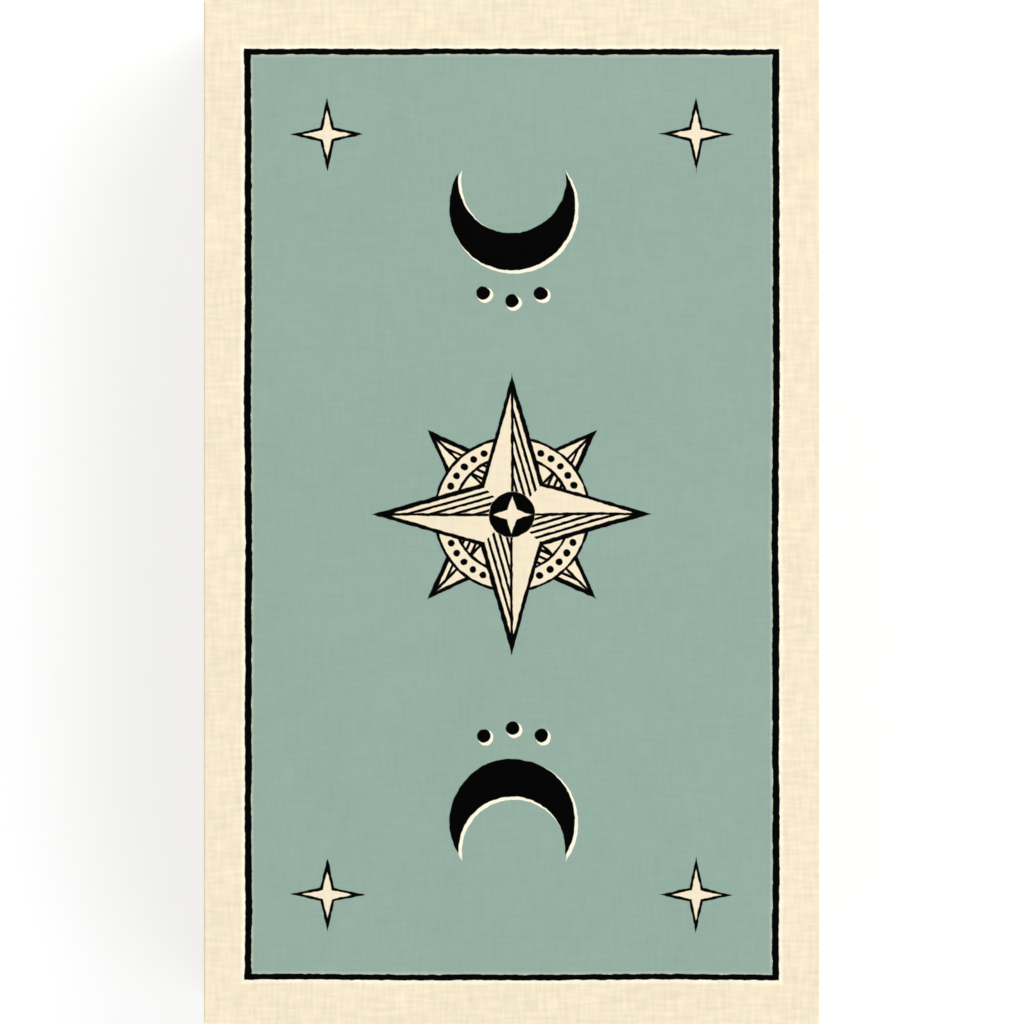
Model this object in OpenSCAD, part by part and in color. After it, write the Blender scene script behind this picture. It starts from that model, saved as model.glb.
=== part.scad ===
// Tarot deck: 78 die-cut cards of coated card stock, squared up and lying face down.
// The origin is under the middle of the deck, +Y runs to the top edge of the printed
// backs, +X to their right edge and +Z up through the deck.

/* [Card] */
// Width of a card, between its two long edges
card_w = 72; // [50:0.5:100]
// Length of a card, between its two short edges
card_l = 120; // [80:0.5:160]
// Thickness of the coated card stock
card_t = 0.35; // [0.25:0.01:0.6]
// Radius of the die-cut corners, which are all but square
corner_r = 0.25; // [0.1:0.05:6]

/* [Deck] */
// Air left between two cards of the squared-up deck
air_gap = 0.03; // [0.01:0.01:0.2]
// Furthest that any card lies out of line with the deck, each way
stray = 0.12; // [0:0.01:0.5]

/* [Print] */
// Red, green and blue of the field printed on every back, from 0 to 1
back_colour = [0.59, 0.69, 0.64]; // [0:0.01:1]

/* [Hidden] */
// The deck in the order it is boxed, from the lowest card up. The ace to ten of a suit are
// taken up in pairs of two loose cards, and every other card by itself.
MAJORS = ["the_fool", "the_magician", "the_high_priestess", "the_empress", "the_emperor",
          "the_hierophant", "the_lovers", "the_chariot", "strength", "the_hermit",
          "wheel_of_fortune", "justice", "the_hanged_man", "death", "temperance",
          "the_devil", "the_tower", "the_star", "the_moon", "the_sun",
          "judgement", "the_world"];
SUITS = ["wands", "cups", "swords", "coins"];
PIP_PAIRS = ["ace_and_two", "three_and_four", "five_and_six", "seven_and_eight", "nine_and_ten"];
COURTS = ["page", "knight", "queen", "king"];

// Names of the nodes in one suit
function pip_pair_name(pair, suit) = str(PIP_PAIRS[pair], "_of_", SUITS[suit]);
function court_name(court, suit) = str(COURTS[court], "_of_", SUITS[suit]);
function suit_names(suit) = concat(
    [for (pair = [0 : len(PIP_PAIRS) - 1]) pip_pair_name(pair, suit)],
    [for (court = [0 : len(COURTS) - 1]) court_name(court, suit)]);

// Where a card lies, counted in cards from the bottom of the deck
cards_in_pair = 2;
pips_in_suit = cards_in_pair * len(PIP_PAIRS);
cards_in_suit = pips_in_suit + len(COURTS);
function pip_place(suit, pair) = len(MAJORS) + suit * cards_in_suit + pair * cards_in_pair;
function court_place(suit, court) = len(MAJORS) + suit * cards_in_suit + pips_in_suit + court;

// Height from the face of one card to the face of the next
pitch = card_t + air_gap;

// Degrees between neighbouring cards in the waves that leave the deck a little untidy,
// one for each way, neither of which comes round again within the deck
stray_turn_x = 137.5;
stray_turn_y = 99.5;

// Sides of the corner arcs
corner_sides = 48;

// A card as it leaves the die: a rectangle with four rounded corners
module card_outline() {
    square([card_w - 2 * corner_r, card_l], center = true);
    square([card_w, card_l - 2 * corner_r], center = true);
    for (x = [-1, 1], y = [-1, 1])
        translate([x * (card_w / 2 - corner_r), y * (card_l / 2 - corner_r)])
            circle(corner_r, $fn = corner_sides);
}

// One card at its place in the deck, face down
module card(place) {
    translate([stray * sin(place * stray_turn_x), stray * cos(place * stray_turn_y), place * pitch])
        linear_extrude(card_t)
            card_outline();
}

// A card of the numbered series without a suit
module major(number) {
    color(back_colour) card(number);
}

// Two neighbouring cards of a suit's ace to ten, as two loose solids
module pip_pair(suit, pair) {
    color(back_colour)
        for (place = [0 : cards_in_pair - 1])
            card(pip_place(suit, pair) + place);
}

// The page, knight, queen or king of a suit
module court(suit, rank) {
    color(back_colour) card(court_place(suit, rank));
}

for (number = [0 : len(MAJORS) - 1])
    major(number);

for (suit = [0 : len(SUITS) - 1]) {
    for (pair = [0 : len(PIP_PAIRS) - 1])
        pip_pair(suit, pair);
    for (rank = [0 : len(COURTS) - 1])
        court(suit, rank);
}
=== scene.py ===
import math

import bmesh
import bpy
from mathutils import Matrix, Vector


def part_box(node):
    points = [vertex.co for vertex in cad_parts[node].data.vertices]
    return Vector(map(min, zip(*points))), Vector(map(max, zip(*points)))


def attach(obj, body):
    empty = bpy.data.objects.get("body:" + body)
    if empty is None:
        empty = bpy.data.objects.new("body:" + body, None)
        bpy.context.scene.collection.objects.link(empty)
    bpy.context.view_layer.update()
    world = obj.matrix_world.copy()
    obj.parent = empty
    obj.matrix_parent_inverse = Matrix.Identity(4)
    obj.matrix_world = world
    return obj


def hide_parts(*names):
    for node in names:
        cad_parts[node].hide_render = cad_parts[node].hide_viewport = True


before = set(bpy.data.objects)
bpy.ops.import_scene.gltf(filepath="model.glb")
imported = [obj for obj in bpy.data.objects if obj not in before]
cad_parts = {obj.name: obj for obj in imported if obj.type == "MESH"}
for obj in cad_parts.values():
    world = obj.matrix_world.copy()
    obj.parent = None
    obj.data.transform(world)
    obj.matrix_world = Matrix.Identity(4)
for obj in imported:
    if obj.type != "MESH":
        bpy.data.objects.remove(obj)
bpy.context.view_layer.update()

# Blank cards. One die cuts them all from sheets of coated board, so their corners are all but square
# and the knife has pressed the rim of both sides a little round. Nothing holds one card to the
# next: they lie loose on each other in the squared-up deck.
MM = 0.001
CORNER_RADIUS = 0.25 * MM
CORNER_STEPS = 4
RIM_RADIUS = 0.05 * MM
RIM_STEPS = 2
BACK, FACE, EDGE = 0, 1, 2
FLAT_ENOUGH = 0.5

top_low, top_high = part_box("king_of_coins")
card_size = top_high - top_low

die = bmesh.new()
bmesh.ops.create_cube(die, size=1.0)
bmesh.ops.scale(die, vec=card_size, verts=die.verts)
uprights = [edge for edge in die.edges if abs(edge.verts[0].co.z - edge.verts[1].co.z) > RIM_RADIUS]
bmesh.ops.bevel(die, geom=uprights, offset=CORNER_RADIUS, offset_type="OFFSET", affect="EDGES",
                segments=CORNER_STEPS, profile=0.5, material=-1, clamp_overlap=False)
die.normal_update()
rims = [edge for edge in die.edges if any(abs(side.normal.z) > FLAT_ENOUGH for side in edge.link_faces)]
bmesh.ops.bevel(die, geom=rims, offset=RIM_RADIUS, offset_type="OFFSET", affect="EDGES",
                segments=RIM_STEPS, profile=0.5, material=-1, clamp_overlap=False)
die.normal_update()
print_map = die.loops.layers.uv.new("print")
for side in die.faces:
    side.material_index = EDGE
    if abs(side.normal.z) > FLAT_ENOUGH:
        side.material_index = BACK if side.normal.z > 0 else FACE
    across = -1 if side.material_index == FACE else 1
    for loop in side.loops:
        loop[print_map].uv = (across * loop.vert.co.x / MM, loop.vert.co.y / MM)
blank = bpy.data.meshes.new("blank")
die.to_mesh(blank)
die.free()


# Cut edge of the board: the bare paper core that the die leaves all round, matt, warm white and
# fibrous, with the knife's fine strokes across its thickness.
CORE_WHITE = (0.94, 0.9, 0.79, 1.0)
CORE_SHADE = (0.8, 0.73, 0.58, 1.0)
CORE_ROUGHNESS = 0.85
CORE_GLOSS = 0.2
FIBRES_PER_METRE = (900.0, 900.0, 9000.0)
FIBRE_DETAIL = 3.0
FIBRE_SHARE = 1.1
STROKES_PER_METRE = (3800.0, 3800.0, 300.0)
STROKE_DETAIL = 1.0
STROKE_SHARE = 0.6
STROKE_DEPTH = 0.02 * MM
STROKE_BITE = 0.3
SHADED_SHARE = 0.15


class Ink:
    """A socket of a finish's node tree. Sums on it add Math nodes, so a drawing reads as arithmetic."""

    # Places of a colour Mix node's three inputs and its output
    FACTOR, GROUND, LAYER, MIXED = 0, 6, 7, 2

    def __init__(self, tree, socket=None):
        self.tree = tree
        self.socket = socket

    def node(self, kind, settings, sockets, out=0):
        """Adds a node, sets it up, fills or links its sockets, and gives one of its outputs."""
        made = self.tree.nodes.new(kind)
        for name, value in settings.items():
            setattr(made, name, value)
        for key, value in sockets.items():
            if isinstance(value, Ink):
                self.tree.links.new(value.socket, made.inputs[key])
            else:
                made.inputs[key].default_value = value
        return Ink(self.tree, made.outputs[out])

    def math(self, operation, *others):
        """Adds one Math node on this socket and the others."""
        return self.node("ShaderNodeMath", {"operation": operation}, dict(enumerate((self, *others))))

    def __add__(self, other):
        return self.math("ADD", other)

    __radd__ = __add__

    def __sub__(self, other):
        return self.math("SUBTRACT", other)

    def __rsub__(self, other):
        return self.math("MULTIPLY_ADD", -1.0, other)

    def __mul__(self, other):
        return self.math("MULTIPLY", other)

    __rmul__ = __mul__

    def __truediv__(self, other):
        return self.math("DIVIDE", other)

    def __mod__(self, other):
        return self.math("FLOORED_MODULO", other)

    def __neg__(self):
        return self.math("MULTIPLY", -1.0)

    def __abs__(self):
        return self.math("ABSOLUTE")

    def most(self, *others):
        """The largest of this and the others, point by point."""
        top = self
        for other in others:
            top = top.math("MAXIMUM", other)
        return top

    def least(self, *others):
        """The smallest of this and the others, point by point."""
        low = self
        for other in others:
            low = low.math("MINIMUM", other)
        return low

    def inside(self, soft):
        """1 where this distance in millimetres is below nought and 0 above it, with a soft edge."""
        return self.node("ShaderNodeMapRange", {"interpolation_type": "SMOOTHSTEP"},
                         {"Value": self, "From Min": -soft, "From Max": soft,
                          "To Min": 1.0, "To Max": 0.0})

    def over(self, colour, ground):
        """A colour laid over a ground where this is 1."""
        return self.node("ShaderNodeMix", {"data_type": "RGBA"},
                         {self.FACTOR: self, self.GROUND: ground, self.LAYER: colour}, self.MIXED)

    def shade(self, colour):
        """A colour made lighter or darker by this factor."""
        return self.node("ShaderNodeMix", {"data_type": "RGBA", "blend_type": "MULTIPLY"},
                         {self.FACTOR: 1.0, self.GROUND: colour, self.LAYER: self}, self.MIXED)

    def noise(self, stretch, detail, out=0):
        """Noise at this place, with so many grains to a unit each way."""
        place = self.node("ShaderNodeVectorMath", {"operation": "MULTIPLY"}, {0: self, 1: stretch})
        return self.node("ShaderNodeTexNoise", {},
                         {"Vector": place, "Scale": 1.0, "Detail": detail}, out)

    def into(self, shader, socket):
        """Links this to a socket of a shader."""
        self.tree.links.new(self.socket, shader.inputs[socket])


def new_finish(name, roughness, gloss):
    """A bare material with its roughness and gloss set, its shader, and a start for its nodes."""
    material = bpy.data.materials.new(name)
    material.use_nodes = True
    shader = material.node_tree.nodes["Principled BSDF"]
    shader.inputs["Roughness"].default_value = roughness
    shader.inputs["Specular IOR Level"].default_value = gloss
    return material, shader, Ink(material.node_tree)


cut_edge, edge_shader, edge_start = new_finish("cut_paper_edge", CORE_ROUGHNESS, CORE_GLOSS)
edge_place = edge_start.node("ShaderNodeTexCoord", {}, {}, "Object")
fibres = edge_place.noise(FIBRES_PER_METRE, FIBRE_DETAIL)
strokes = edge_place.noise(STROKES_PER_METRE, STROKE_DETAIL)
whiteness = fibres * FIBRE_SHARE + strokes * STROKE_SHARE - SHADED_SHARE
whiteness.over(CORE_WHITE, CORE_SHADE).into(edge_shader, "Base Color")
edge_bump = edge_start.node("ShaderNodeBump", {},
                            {"Strength": STROKE_BITE, "Distance": STROKE_DEPTH, "Height": strokes})
edge_bump.into(edge_shader, "Normal")


# Printed sides, alike on both faces of the board: offset ink on linen-grained paper under a satin
# varnish. The black plate is made from pen drawings, so its lines wander and thicken, and the
# colour plate stops a little short of them.
PAPER_CREAM = (0.936, 0.82, 0.607, 1.0)
BARE_PAPER = (1.0, 0.948, 0.762, 1.0)
VARNISH_ROUGHNESS = 0.32
VARNISH_GLOSS = 0.08
WARP_PER_METRE = (2100.0, 340.0, 2100.0)
WEFT_PER_METRE = (340.0, 2100.0, 2100.0)
LINEN_DETAIL = 1.0
LINEN_DEPTH = 0.012 * MM
LINEN_BITE = 0.35
PAPER_GRAIN = 0.19
INKED_GRAIN = 0.095
MOTTLE_PER_METRE = (90.0, 90.0, 90.0)
MOTTLE_DETAIL = 3.0
PAPER_MOTTLE = 0.09
INKED_MOTTLE = 0.06
SIDE_BORDER = 5.07
END_BORDER = 5.76
FRAME_MIDDLE_Y = -0.27
SIDE_LINE = 0.82
END_LINE = 0.69
BARE_EDGE = 0.4
THIN_EDGE = 0.22
SOLID_TINT = 0.8
WANDER = 0.62
WANDERS_PER_MM = (0.05, 0.05, 0.0)
WANDER_DETAIL = 3.0
NIB = 0.285
NIBS_PER_MM = (1.0, 1.0, 0.0)
NIB_DETAIL = 3.0
INK_EDGE = 0.04
NOISE_MIDDLE = 0.5

frame_half_w = card_size.x / MM / 2 - SIDE_BORDER
frame_half_h = card_size.y / MM / 2 - END_BORDER


class Page:
    """One printed side as it is drawn: a point's place on it in millimetres, its paper and its pen."""

    def __init__(self, name):
        self.material, self.shader, start = new_finish(name, VARNISH_ROUGHNESS, VARNISH_GLOSS)
        self.node = start.node
        uv = self.node("ShaderNodeUVMap", {"uv_map": "print"}, {})
        wander = uv.noise(WANDERS_PER_MM, WANDER_DETAIL, "Color")
        drift = self.node("ShaderNodeVectorMath", {"operation": "MULTIPLY_ADD"},
                          {0: wander, 1: (WANDER, WANDER, 0.0),
                           2: (-WANDER * NOISE_MIDDLE, -WANDER * NOISE_MIDDLE, 0.0)})
        drawn = self.node("ShaderNodeVectorMath", {"operation": "ADD"}, {0: uv, 1: drift})
        self.x = self.node("ShaderNodeSeparateXYZ", {}, {0: drawn}, "X")
        self.y = self.node("ShaderNodeSeparateXYZ", {}, {0: drawn}, "Y") - FRAME_MIDDLE_Y
        self.nib = (uv.noise(NIBS_PER_MM, NIB_DETAIL) - NOISE_MIDDLE) * NIB
        place = self.node("ShaderNodeTexCoord", {}, {}, "Object")
        warp = place.noise(WARP_PER_METRE, LINEN_DETAIL)
        weft = place.noise(WEFT_PER_METRE, LINEN_DETAIL)
        self.linen = warp + weft - 2 * NOISE_MIDDLE
        self.mottle = place.noise(MOTTLE_PER_METRE, MOTTLE_DETAIL) - NOISE_MIDDLE

    def pen(self, distance):
        """Where a drawn shape is inked. Its edge wavers with the nib."""
        return (distance + self.nib).inside(INK_EDGE)

    def frame(self, field):
        """Cream border and coloured field, and where the black frame between them is inked."""
        outer = bar(self.x, self.y, frame_half_w + SIDE_LINE / 2, frame_half_h + END_LINE / 2)
        inner = bar(self.x, self.y, frame_half_w - SIDE_LINE / 2, frame_half_h - END_LINE / 2)
        bare = (outer - BARE_EDGE).inside(BARE_EDGE / 2)
        ground = bare.over(BARE_PAPER, PAPER_CREAM)
        thinned = (inner + THIN_EDGE).inside(THIN_EDGE)
        self.tint = inner.inside(INK_EDGE) * SOLID_TINT + thinned * (1.0 - SOLID_TINT)
        return self.tint.over(field, ground), self.pen(outer) * (1.0 - self.pen(inner))

    def varnish(self, colour):
        """Lays the drawing on the grain of the paper and gives the finished side."""
        linen_share = PAPER_GRAIN - self.tint * (PAPER_GRAIN - INKED_GRAIN)
        mottle_share = PAPER_MOTTLE - self.tint * (PAPER_MOTTLE - INKED_MOTTLE)
        grain = self.linen * linen_share + self.mottle * mottle_share + 1.0
        grain.shade(colour).into(self.shader, "Base Color")
        bump = self.node("ShaderNodeBump", {},
                         {"Strength": LINEN_BITE, "Distance": LINEN_DEPTH, "Height": self.linen})
        bump.into(self.shader, "Normal")
        return self.material


def bar(x, y, half_w, half_h):
    """Distance from the edge of an oblong."""
    return (abs(x) - half_w).most(abs(y) - half_h)


# Backs, printed alike on all the cards in black and sage on cream: a compass star over a beaded
# ring in the middle of the field, a crescent with three dots at each end, and a spark near each
# corner. The cream under the black marks is a touch out of register.
FIELD_SAGE = (0.309, 0.434, 0.366, 1.0)
KEY_BLACK = (0.0006, 0.0006, 0.0008, 1.0)
STAR_TIP = 15.6
STAR_WAIST = 4.9
CROSS_TIP = 13.4
CROSS_WAIST = 5.2
RING_RADIUS = 7.9
RING_HALF_W = 1.1
BEADS = 36
BEAD_RADIUS = 0.42
BOSS_RADIUS = 2.7
BOSS_STAR_TIP = 2.2
BOSS_STAR_WAIST = 0.8
OUTLINE = 0.46
FINE_LINE = 0.34
HATCH_STEP = 0.72
HATCH_SHARE = 0.46
MOON_UP = 36.0
MOON_RADIUS = 7.4
MOON_BITE_RADIUS = 6.3
MOON_BITE_UP = 3.3
DOT_RADIUS = 0.8
DOT_UP = 25.0
DOT_ACROSS = 3.4
DOT_RISE = 0.9
SPARK_ACROSS = 21.6
SPARK_UP = 44.6
SPARK_TIP = 3.6
SPARK_WAIST = 0.95
SLIP = 0.24
SLIP_SPREAD = 0.12
DIAGONAL = math.sqrt(0.5)


def disc(x, y, radius):
    """Distance from the edge of a round shape."""
    return (x * x + y * y).math("SQRT") - radius


def four_points(x, y, tip, waist):
    """Distance from the edge of a four-pointed star, whose inner corners lie at the waist."""
    notch = waist * DIAGONAL
    slant = math.hypot(notch, tip - notch)
    long_way = abs(x).most(abs(y))
    short_way = abs(x).least(abs(y))
    return ((long_way - tip) * notch + short_way * (tip - notch)) / slant


def hatched(page, x, y, star):
    """Pen work in a star: its outline, the ridge of each point, and hatching down one side of it."""
    half = (abs(x) - abs(y)) * x * y
    dark = half.math("LESS_THAN", 0.0)
    ridge = abs(x).least(abs(y)) - FINE_LINE / 2
    strokes = (-star % HATCH_STEP) - HATCH_STEP * HATCH_SHARE
    within = star.most(ridge)
    shaded = star.most(strokes)
    return page.pen(abs(star) - OUTLINE / 2).most(page.pen(within), page.pen(shaded) * dark)


def moons(x, y):
    """Distance from the edge of the two crescents and their dots, horns outwards."""
    out = abs(y)
    bite = disc(x, out - MOON_UP - MOON_BITE_UP, MOON_BITE_RADIUS)
    moon = disc(x, out - MOON_UP, MOON_RADIUS).most(-bite)
    middle_dot = disc(x, out - DOT_UP, DOT_RADIUS)
    side_dots = disc(abs(x) - DOT_ACROSS, out - DOT_UP - DOT_RISE, DOT_RADIUS)
    return moon.least(middle_dot, side_dots)


back = Page("printed_back")
ground, key = back.frame(FIELD_SAGE)

spark = four_points(abs(back.x) - SPARK_ACROSS, abs(back.y) - SPARK_UP, SPARK_TIP, SPARK_WAIST)
under_moons = moons(back.x - SLIP, back.y + SLIP) - SLIP_SPREAD
ground = back.pen(under_moons).over(BARE_PAPER, ground)
ground = back.pen(spark).over(PAPER_CREAM, ground)
key = key.most(back.pen(moons(back.x, back.y)), back.pen(abs(spark) - FINE_LINE / 2))

turned_x = (back.x + back.y) * DIAGONAL
turned_y = (back.y - back.x) * DIAGONAL
star = four_points(back.x, back.y, STAR_TIP, STAR_WAIST)
cross = four_points(turned_x, turned_y, CROSS_TIP, CROSS_WAIST)
from_middle = disc(back.x, back.y, 0.0)
ring = abs(from_middle - RING_RADIUS) - RING_HALF_W
boss = from_middle - BOSS_RADIUS
bead_turn = 2 * math.pi / BEADS
bead_angle = back.y.math("ARCTAN2", back.x) % bead_turn - bead_turn / 2
bead_along = from_middle * bead_angle.math("COSINE")
bead_across = from_middle * bead_angle.math("SINE")
beads = disc(bead_along - RING_RADIUS, bead_across, BEAD_RADIUS)

ground = back.pen(star.least(cross, ring, boss)).over(PAPER_CREAM, ground)
drawing = hatched(back, turned_x, turned_y, cross) * (1.0 - back.pen(ring))
drawing = drawing.most(back.pen(abs(ring) - FINE_LINE / 2), back.pen(beads)) * (1.0 - back.pen(star))
drawing = drawing.most(hatched(back, back.x, back.y, star)) * (1.0 - back.pen(boss))
boss_star = four_points(back.x, back.y, BOSS_STAR_TIP, BOSS_STAR_WAIST)
drawing = drawing.most(back.pen(boss) * (1.0 - back.pen(boss_star)))
printed_back = back.varnish(key.most(drawing).over(KEY_BLACK, ground))


# Suit of coins, the top fourteen cards. The faces carry one to ten pips, or a large emblem between
# two crowns, drawn in the pen lines of the backs on a paler field. A pip is drawn about ten units
# tall and scaled to fill its place: here it is a milled coin with an eight-petalled boss.
LEVEL_DIGITS = 6
FACE_PALE = (0.956, 0.888, 0.723, 1.0)
RANKS = ("ace", "two", "three", "four", "five", "six", "seven", "eight", "nine", "ten")
PIP_PAIRS = ("ace_and_two", "three_and_four", "five_and_six", "seven_and_eight", "nine_and_ten")
CROWN_POINTS = {"page": 1, "knight": 2, "queen": 3, "king": 5}
MOST_IN_A_COLUMN = 3
PIP_FIELD = 96.0
PIP_FILL = 0.086
COLUMN = 17.0
ONE_COLUMN_REACH = 22.0
TWO_COLUMN_REACH = 10.2
THREE_COLUMN_REACH = 7.6
COURT_REACH = 20.0
COURT_SIZE = 5.2
CROWN_UP = 36.5
CROWN_HALF_W = 11.0
CROWN_POINT = 7.0
CROWN_BALL = 1.1
CROWN_BAND_DOWN = 0.8
CROWN_BAND_HALF_H = 1.3
INNER_LINE_IN = 2.0
PIP_LINE = 0.18
COIN_RADIUS = 5.0
COIN_RIM = 3.7
COIN_PETALS = 8
PETAL_RADIUS = 1.9
PETAL_SWELL = 0.55
COIN_EYE = 0.5


def card_places(node):
    """Middle of each loose card in a node, from the bottom card up."""
    points = [vertex.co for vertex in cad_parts[node].data.vertices]
    levels = sorted({round(point.z, LEVEL_DIGITS) for point in points})
    places = []
    for bottom in levels[::2]:
        face = [point for point in points if round(point.z, LEVEL_DIGITS) == bottom]
        lowest = Vector(min(point[axis] for point in face) for axis in range(3))
        places.append(lowest + card_size / 2)
    return places


def deal(card, node, layer, face):
    """Lays a card in the place of one layer of a node's solids, with its own printed face."""
    mesh = blank.copy()
    mesh.name = card
    mesh.transform(Matrix.Translation(card_places(node)[layer]))
    for finish in (printed_back, face, cut_edge):
        mesh.materials.append(finish)
    piece = bpy.data.objects.new(card, mesh)
    bpy.context.scene.collection.objects.link(piece)
    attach(piece, node)
    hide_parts(node)


def pip_place(page, count, half_w):
    """Where a point lies from the nearest of a card's pips, and how large they can be drawn."""
    rows = count if count <= MOST_IN_A_COLUMN else count // 2
    step = PIP_FIELD / rows
    first = (rows - 1) / 2
    row = (page.y / step + first).math("ROUND").most(0.0).least(float(rows - 1))
    down = page.y - (row - first) * step
    if count <= MOST_IN_A_COLUMN:
        return page.x, down, min(PIP_FILL * step, ONE_COLUMN_REACH / half_w)
    across = abs(page.x) - COLUMN
    if count % 2 == 0:
        return across, down, min(PIP_FILL * step, TWO_COLUMN_REACH / half_w)
    middle = abs(page.x).math("LESS_THAN", COLUMN / 2)
    odd_up = step / 2 if rows % 2 else 0.0
    across = across + (page.x - across) * middle
    down = down + (page.y - odd_up - down) * middle
    return across, down, min(PIP_FILL * step, THREE_COLUMN_REACH / half_w)


def crown(x, y, points):
    """Distance from the edge of a crown on its band, with a ball on each point."""
    step = 2 * CROWN_HALF_W / points
    slope = 2 * CROWN_POINT / step
    point_x = (x + CROWN_HALF_W) % step - step / 2
    spikes = (y - CROWN_POINT + abs(point_x) * slope) / math.hypot(1.0, slope)
    spikes = spikes.most(abs(x) - CROWN_HALF_W, -y)
    balls = disc(point_x, y - CROWN_POINT - CROWN_BALL, CROWN_BALL).most(abs(x) - CROWN_HALF_W)
    return spikes.least(balls, bar(x, y + CROWN_BAND_DOWN, CROWN_HALF_W, CROWN_BAND_HALF_H))


def printed_face(page, ground, key, shape, lines, tint):
    """Fills a face's drawing, draws round it and lays in its inner lines."""
    ground = page.pen(shape).over(tint, ground)
    inner_frame = bar(page.x, page.y, frame_half_w - INNER_LINE_IN, frame_half_h - INNER_LINE_IN)
    lines = lines.least(abs(inner_frame) - FINE_LINE / 2)
    drawing = page.pen((abs(shape) - OUTLINE / 2).least(lines))
    return page.varnish(key.most(drawing).over(KEY_BLACK, ground))


def deal_suit(suit, pip, half_w, tint):
    """Deals the fourteen cards of a suit from its king, at the top, down to its ace."""
    court_size = min(COURT_SIZE, COURT_REACH / half_w)
    for court in reversed(CROWN_POINTS):
        page = Page(f"printed_{court}_of_{suit}")
        ground, key = page.frame(FACE_PALE)
        shape, lines = pip(page.x / court_size, page.y / court_size)
        crowns = crown(page.x, abs(page.y) - CROWN_UP, CROWN_POINTS[court])
        shape = (shape * court_size).least(crowns)
        face = printed_face(page, ground, key, shape, lines * court_size, tint)
        deal(f"{court}_of_{suit}_card", f"{court}_of_{suit}", 0, face)
    for place in reversed(range(len(RANKS))):
        page = Page(f"printed_{RANKS[place]}_of_{suit}")
        ground, key = page.frame(FACE_PALE)
        across, down, size = pip_place(page, place + 1, half_w)
        shape, lines = pip(across / size, down / size)
        face = printed_face(page, ground, key, shape * size, lines * size, tint)
        deal(f"{RANKS[place]}_of_{suit}_card", f"{PIP_PAIRS[place // 2]}_of_{suit}", place % 2, face)


def coin(x, y):
    """Distances from the edge of a coin and from the lines struck on it."""
    from_middle = disc(x, y, 0.0)
    swell = (y.math("ARCTAN2", x) * COIN_PETALS).math("COSINE") * PETAL_SWELL
    petals = abs(from_middle - PETAL_RADIUS - swell) - PIP_LINE / 2
    rim = abs(from_middle - COIN_RIM) - PIP_LINE / 2
    return from_middle - COIN_RADIUS, rim.least(petals, from_middle - COIN_EYE)


deal_suit("coins", coin, COIN_RADIUS, FIELD_SAGE)


# Suit of swords, the fourteen cards under the coins. The printed pip is a straight sword, point up,
# with a pale steel blade, a fuller down its middle, a cross guard, a black-bound grip and a round
# pommel.
BLADE_PALE = (0.78, 0.83, 0.78, 1.0)
BLADE_HALF_W = 0.62
BLADE_TIP = 5.0
BLADE_FOOT = -1.8
POINT_SLANT = math.radians(29.4)
FULLER_UP = 1.2
FULLER_HALF_H = 2.6
GUARD_UP = -2.1
GUARD_HALF_W = 2.3
GUARD_HALF_H = 0.32
GRIP_UP = -3.3
GRIP_HALF_W = 0.4
GRIP_HALF_H = 1.1
POMMEL_UP = -4.6
POMMEL_RADIUS = 0.62


def sword(x, y):
    """Distances from the edge of a sword and from its fuller and grip."""
    point = abs(x) * math.cos(POINT_SLANT) + (y - BLADE_TIP) * math.sin(POINT_SLANT)
    blade = (abs(x) - BLADE_HALF_W).most(point, BLADE_FOOT - y)
    guard = bar(x, y - GUARD_UP, GUARD_HALF_W, GUARD_HALF_H)
    grip = bar(x, y - GRIP_UP, GRIP_HALF_W, GRIP_HALF_H)
    pommel = disc(x, y - POMMEL_UP, POMMEL_RADIUS)
    fuller = bar(x, y - FULLER_UP, PIP_LINE / 2, FULLER_HALF_H)
    return blade.least(guard, grip, pommel), fuller.least(grip)


deal_suit("swords", sword, GUARD_HALF_W, BLADE_PALE)


# Suit of cups, the fourteen cards under the swords. The printed pip is a sage chalice with a round
# bowl, a line below its brim, one set stone, a knopped stem and a domed foot.
BOWL_UP = 2.0
BOWL_RADIUS = 3.5
BRIM_UP = 3.6
BRIM_LINE_UP = 2.6
STONE_UP = 0.6
STONE_RADIUS = 0.9
STEM_UP = -2.6
STEM_HALF_W = 0.42
STEM_HALF_H = 1.9
KNOP_UP = -2.4
KNOP_RADIUS = 0.85
FOOT_UP = -7.4
FOOT_RADIUS = 3.6
FOOT_FLAT = -4.9


def cup(x, y):
    """Distances from the edge of a chalice and from the lines on its bowl."""
    bowl = disc(x, y - BOWL_UP, BOWL_RADIUS).most(y - BRIM_UP)
    stem = bar(x, y - STEM_UP, STEM_HALF_W, STEM_HALF_H)
    knop = disc(x, y - KNOP_UP, KNOP_RADIUS)
    foot = disc(x, y - FOOT_UP, FOOT_RADIUS).most(FOOT_FLAT - y)
    brim = (abs(y - BRIM_LINE_UP) - PIP_LINE / 2).most(bowl)
    stone = abs(disc(x, y - STONE_UP, STONE_RADIUS)) - PIP_LINE / 2
    return bowl.least(stem, knop, foot), brim.least(stone)


deal_suit("cups", cup, BOWL_RADIUS, FIELD_SAGE)


# Suit of wands, the fourteen cards under the cups. The printed pip is a cut stave with knobbed ends,
# two pairs of leaves that grow up and away from it, and two strokes for the grain of its wood.
LEAF_SAGE = (0.42, 0.53, 0.36, 1.0)
STAVE_HALF_W = 0.62
STAVE_HALF_H = 4.4
KNOB_UP = 4.3
KNOB_RADIUS = 0.72
LEAF_OUT = 1.5
LEAF_ROWS = (2.2, -1.2)
LEAF_ARC = 1.7
LEAF_ARC_OFF = 1.1
LEAF_REACH = 2.7
GRAIN_OUT = 0.2
GRAIN_UP = 0.4
GRAIN_DOWN = -2.6
GRAIN_HALF_H = 1.2


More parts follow.
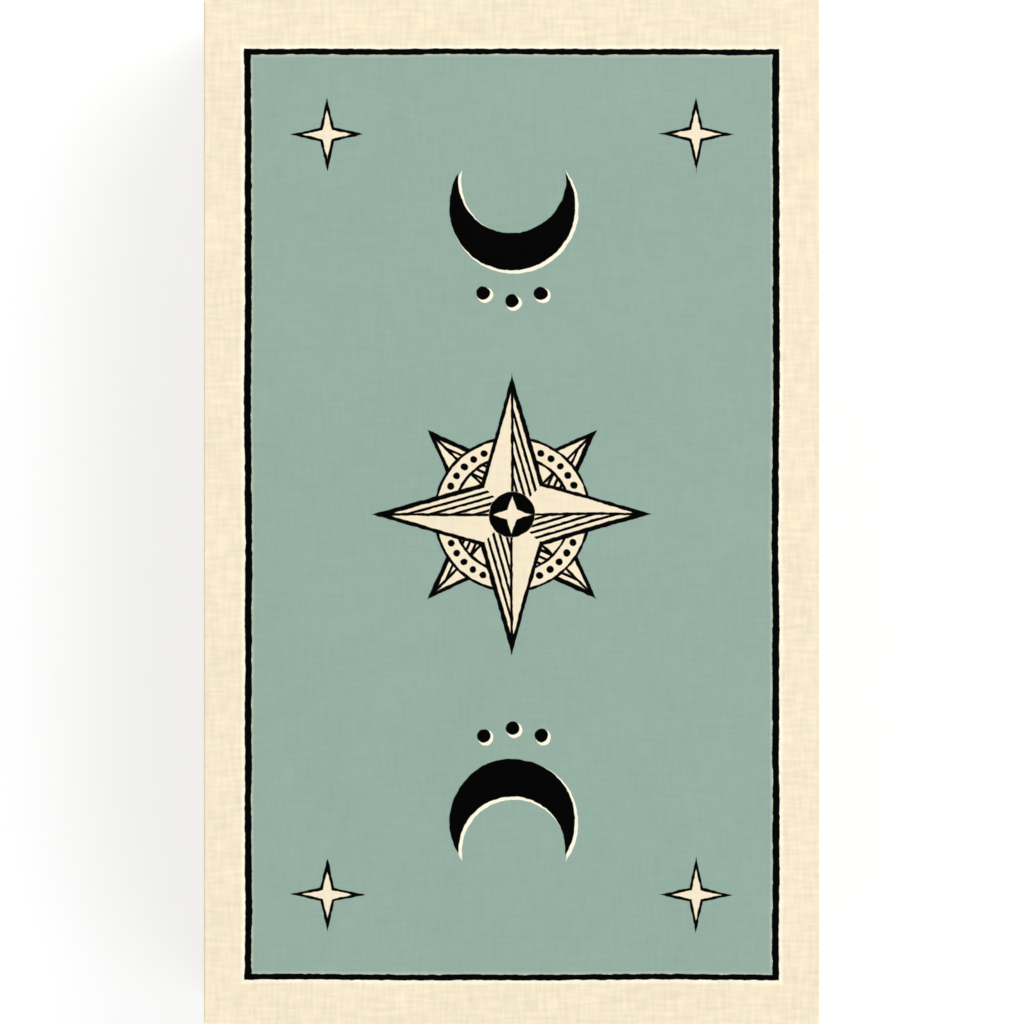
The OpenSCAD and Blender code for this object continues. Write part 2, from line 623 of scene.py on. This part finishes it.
def leaf(x, y):
    """Distance from the edge of a leaf that points up and outwards."""
    along = (x + y) * DIAGONAL
    across = (y - x) * DIAGONAL
    upper_edge = disc(along, across + LEAF_ARC_OFF, LEAF_ARC)
    return disc(along, across - LEAF_ARC_OFF, LEAF_ARC).most(upper_edge)


def wand(x, y):
    """Distances from the edge of a leafy stave and from its grain."""
    stave = bar(x, y, STAVE_HALF_W, STAVE_HALF_H).least(disc(x, abs(y) - KNOB_UP, KNOB_RADIUS))
    leaves = [leaf(abs(x) - LEAF_OUT, y - up) for up in LEAF_ROWS]
    upper_grain = bar(x - GRAIN_OUT, y - GRAIN_UP, PIP_LINE / 2, GRAIN_HALF_H)
    lower_grain = bar(x + GRAIN_OUT, y - GRAIN_DOWN, PIP_LINE / 2, GRAIN_HALF_H)
    return stave.least(*leaves), upper_grain.least(lower_grain)


deal_suit("wands", wand, LEAF_REACH, LEAF_SAGE)


# Numbered series, the lowest twenty-two cards, one to a body. Each face has a round cream sun on a
# pale sage field between the four sparks of the backs. The sun has as many rays as the card's
# number, so the first has none.
SERIES = ("the_fool", "the_magician", "the_high_priestess", "the_empress", "the_emperor",
          "the_hierophant", "the_lovers", "the_chariot", "strength", "the_hermit",
          "wheel_of_fortune", "justice", "the_hanged_man", "death", "temperance",
          "the_devil", "the_tower", "the_star", "the_moon", "the_sun",
          "judgement", "the_world")
SERIES_PALE = (0.62, 0.70, 0.62, 1.0)
SUN_RADIUS = 9.0
SUN_RING = 7.4
RAY_START = 10.6
RAY_END = 24.0
RAY_HALF_W = 1.9
RAY_SHARE = 0.36


def rays(x, y, count):
    """Distance from the edge of a burst of rays, the first of them straight up."""
    turn = 2 * math.pi / count
    angle = (x.math("ARCTAN2", y) + turn / 2) % turn - turn / 2
    from_middle = disc(x, y, 0.0)
    along = from_middle * angle.math("COSINE")
    across = abs(from_middle * angle.math("SINE"))
    half_w = min(RAY_HALF_W, RAY_SHARE * turn * RAY_START)
    taper = half_w / (RAY_END - RAY_START)
    return (across - (RAY_END - along) * taper).most(RAY_START - along)


for number in reversed(range(len(SERIES))):
    page = Page(f"printed_{SERIES[number]}")
    ground, key = page.frame(SERIES_PALE)
    spark = four_points(abs(page.x) - SPARK_ACROSS, abs(page.y) - SPARK_UP, SPARK_TIP, SPARK_WAIST)
    shape = disc(page.x, page.y, SUN_RADIUS).least(spark)
    lines = abs(disc(page.x, page.y, SUN_RING)) - FINE_LINE / 2
    if number:
        shape = shape.least(rays(page.x, page.y, number))
    face = printed_face(page, ground, key, shape, lines, PAPER_CREAM)
    deal(f"{SERIES[number]}_card", SERIES[number], 0, face)


# Table and studio: a seamless white sweep, round and coved up into a wall that glows like a light
# tent, most behind the strongest lamp. Four soft boxes stand well off to the sides, as on a copy
# stand, so that none shines back into the camera, which looks straight down on the top card.
SWEEP_RADIUS = 3.0
SWEEP_SIDES = 96
SWEEP_HEIGHT = 2.4
SWEEP_COVE = 0.9
COVE_STEPS = 12
SWEEP_DROP = 0.02 * MM
SWEEP_WHITE = (0.66, 0.665, 0.67, 1.0)
SWEEP_ROUGHNESS = 0.9
SWEEP_GLOSS = 0.1
SWEEP_LIFT = 0.435
WALL_LIFT = 0.86
WALL_GLOW = 0.45
WALL_SWING = 0.26
BRIGHT_BEARING = math.radians(45.0)
WALL_FROM = 0.5
WALL_TO = 2.2
SKY_STRENGTH = 0.6
CEILING_STRENGTH = 0.05
CEILING_FROM = 0.74
CEILING_TO = 0.86
LAMP_DISTANCE = 1.3
LAMP_SIZE = 0.8
LAMP_ELEVATION = math.radians(48.0)
WATTS_AT_BEARING = {45: 4.9, 135: 2.6, 225: 1.7, 315: 2.4}
LENS = 200.0
SENSOR = 36.0

sweep = bmesh.new()
bmesh.ops.create_circle(sweep, cap_ends=True, radius=SWEEP_RADIUS, segments=SWEEP_SIDES)
foot = list(sweep.edges)
raised = bmesh.ops.extrude_edge_only(sweep, edges=foot)["geom"]
brow = [part for part in raised if isinstance(part, bmesh.types.BMVert)]
bmesh.ops.translate(sweep, vec=(0, 0, SWEEP_HEIGHT), verts=brow)
bmesh.ops.bevel(sweep, geom=foot, offset=SWEEP_COVE, offset_type="OFFSET", affect="EDGES",
                segments=COVE_STEPS, profile=0.5, material=-1)
bmesh.ops.translate(sweep, vec=(0, 0, -SWEEP_DROP), verts=sweep.verts)
bmesh.ops.recalc_face_normals(sweep, faces=sweep.faces)
sweep_mesh = bpy.data.meshes.new("sweep")
sweep.to_mesh(sweep_mesh)
sweep.free()
sweep_piece = bpy.data.objects.new("sweep", sweep_mesh)
bpy.context.scene.collection.objects.link(sweep_piece)

sweep_paper, sweep_shader, sweep_start = new_finish("sweep_paper", SWEEP_ROUGHNESS, SWEEP_GLOSS)
sweep_shader.inputs["Base Color"].default_value = SWEEP_WHITE
sweep_shader.inputs["Emission Strength"].default_value = 1.0
to_camera = sweep_start.node("ShaderNodeLightPath", {}, {}, "Is Camera Ray")
to_gloss = sweep_start.node("ShaderNodeLightPath", {}, {}, "Is Glossy Ray")
to_glass = sweep_start.node("ShaderNodeLightPath", {}, {}, "Is Transmission Ray")
sweep_place = sweep_start.node("ShaderNodeTexCoord", {}, {}, "Object")
sweep_out = sweep_start.node("ShaderNodeVectorMath", {"operation": "LENGTH"}, {0: sweep_place}, "Value")
wall = sweep_start.node("ShaderNodeMapRange", {"interpolation_type": "SMOOTHSTEP"},
                        {"Value": sweep_out, "From Min": WALL_FROM, "From Max": WALL_TO})
lift = wall * (WALL_LIFT - SWEEP_LIFT) + SWEEP_LIFT
bright_way = (math.cos(BRIGHT_BEARING) / SWEEP_RADIUS, math.sin(BRIGHT_BEARING) / SWEEP_RADIUS, 0.0)
brighter = sweep_start.node("ShaderNodeVectorMath", {"operation": "DOT_PRODUCT"},
                            {0: sweep_place, 1: bright_way}, "Value")
glow = wall * (brighter * WALL_SWING + WALL_GLOW)
seen = to_camera.most(to_gloss, to_glass)
(seen * lift).most(glow).into(sweep_shader, "Emission Color")
sweep_mesh.materials.append(sweep_paper)

world = bpy.data.worlds.new("studio")
world.use_nodes = True
air_start = Ink(world.node_tree)
looked_at = air_start.node("ShaderNodeTexCoord", {}, {}, "Generated")
height = air_start.node("ShaderNodeSeparateXYZ", {}, {0: looked_at}, "Z")
brightness = air_start.node("ShaderNodeMapRange", {"interpolation_type": "SMOOTHSTEP"},
                            {"Value": height, "From Min": CEILING_FROM, "From Max": CEILING_TO,
                             "To Min": SKY_STRENGTH, "To Max": CEILING_STRENGTH})
brightness.into(world.node_tree.nodes["Background"], "Color")
bpy.context.scene.world = world

for bearing, watts in WATTS_AT_BEARING.items():
    lamp = bpy.data.lights.new(f"soft_box_{bearing}", "AREA")
    lamp.energy = watts
    lamp.size = LAMP_SIZE
    lamp_piece = bpy.data.objects.new(lamp.name, lamp)
    turned = math.radians(bearing)
    flat = LAMP_DISTANCE * math.cos(LAMP_ELEVATION)
    up = LAMP_DISTANCE * math.sin(LAMP_ELEVATION)
    lamp_piece.location = (flat * math.cos(turned), flat * math.sin(turned), up)
    lamp_piece.rotation_euler = (-lamp_piece.location).to_track_quat("-Z", "Y").to_euler()
    bpy.context.scene.collection.objects.link(lamp_piece)

camera = bpy.data.cameras.new("camera")
camera.lens = LENS
camera.sensor_width = SENSOR
camera_piece = bpy.data.objects.new("camera", camera)
above = card_size.y * LENS / SENSOR
camera_piece.location = ((top_low.x + top_high.x) / 2, (top_low.y + top_high.y) / 2, top_high.z + above)
bpy.context.scene.collection.objects.link(camera_piece)
bpy.context.scene.camera = camera_piece
bpy.context.scene.view_settings.view_transform = "Standard"
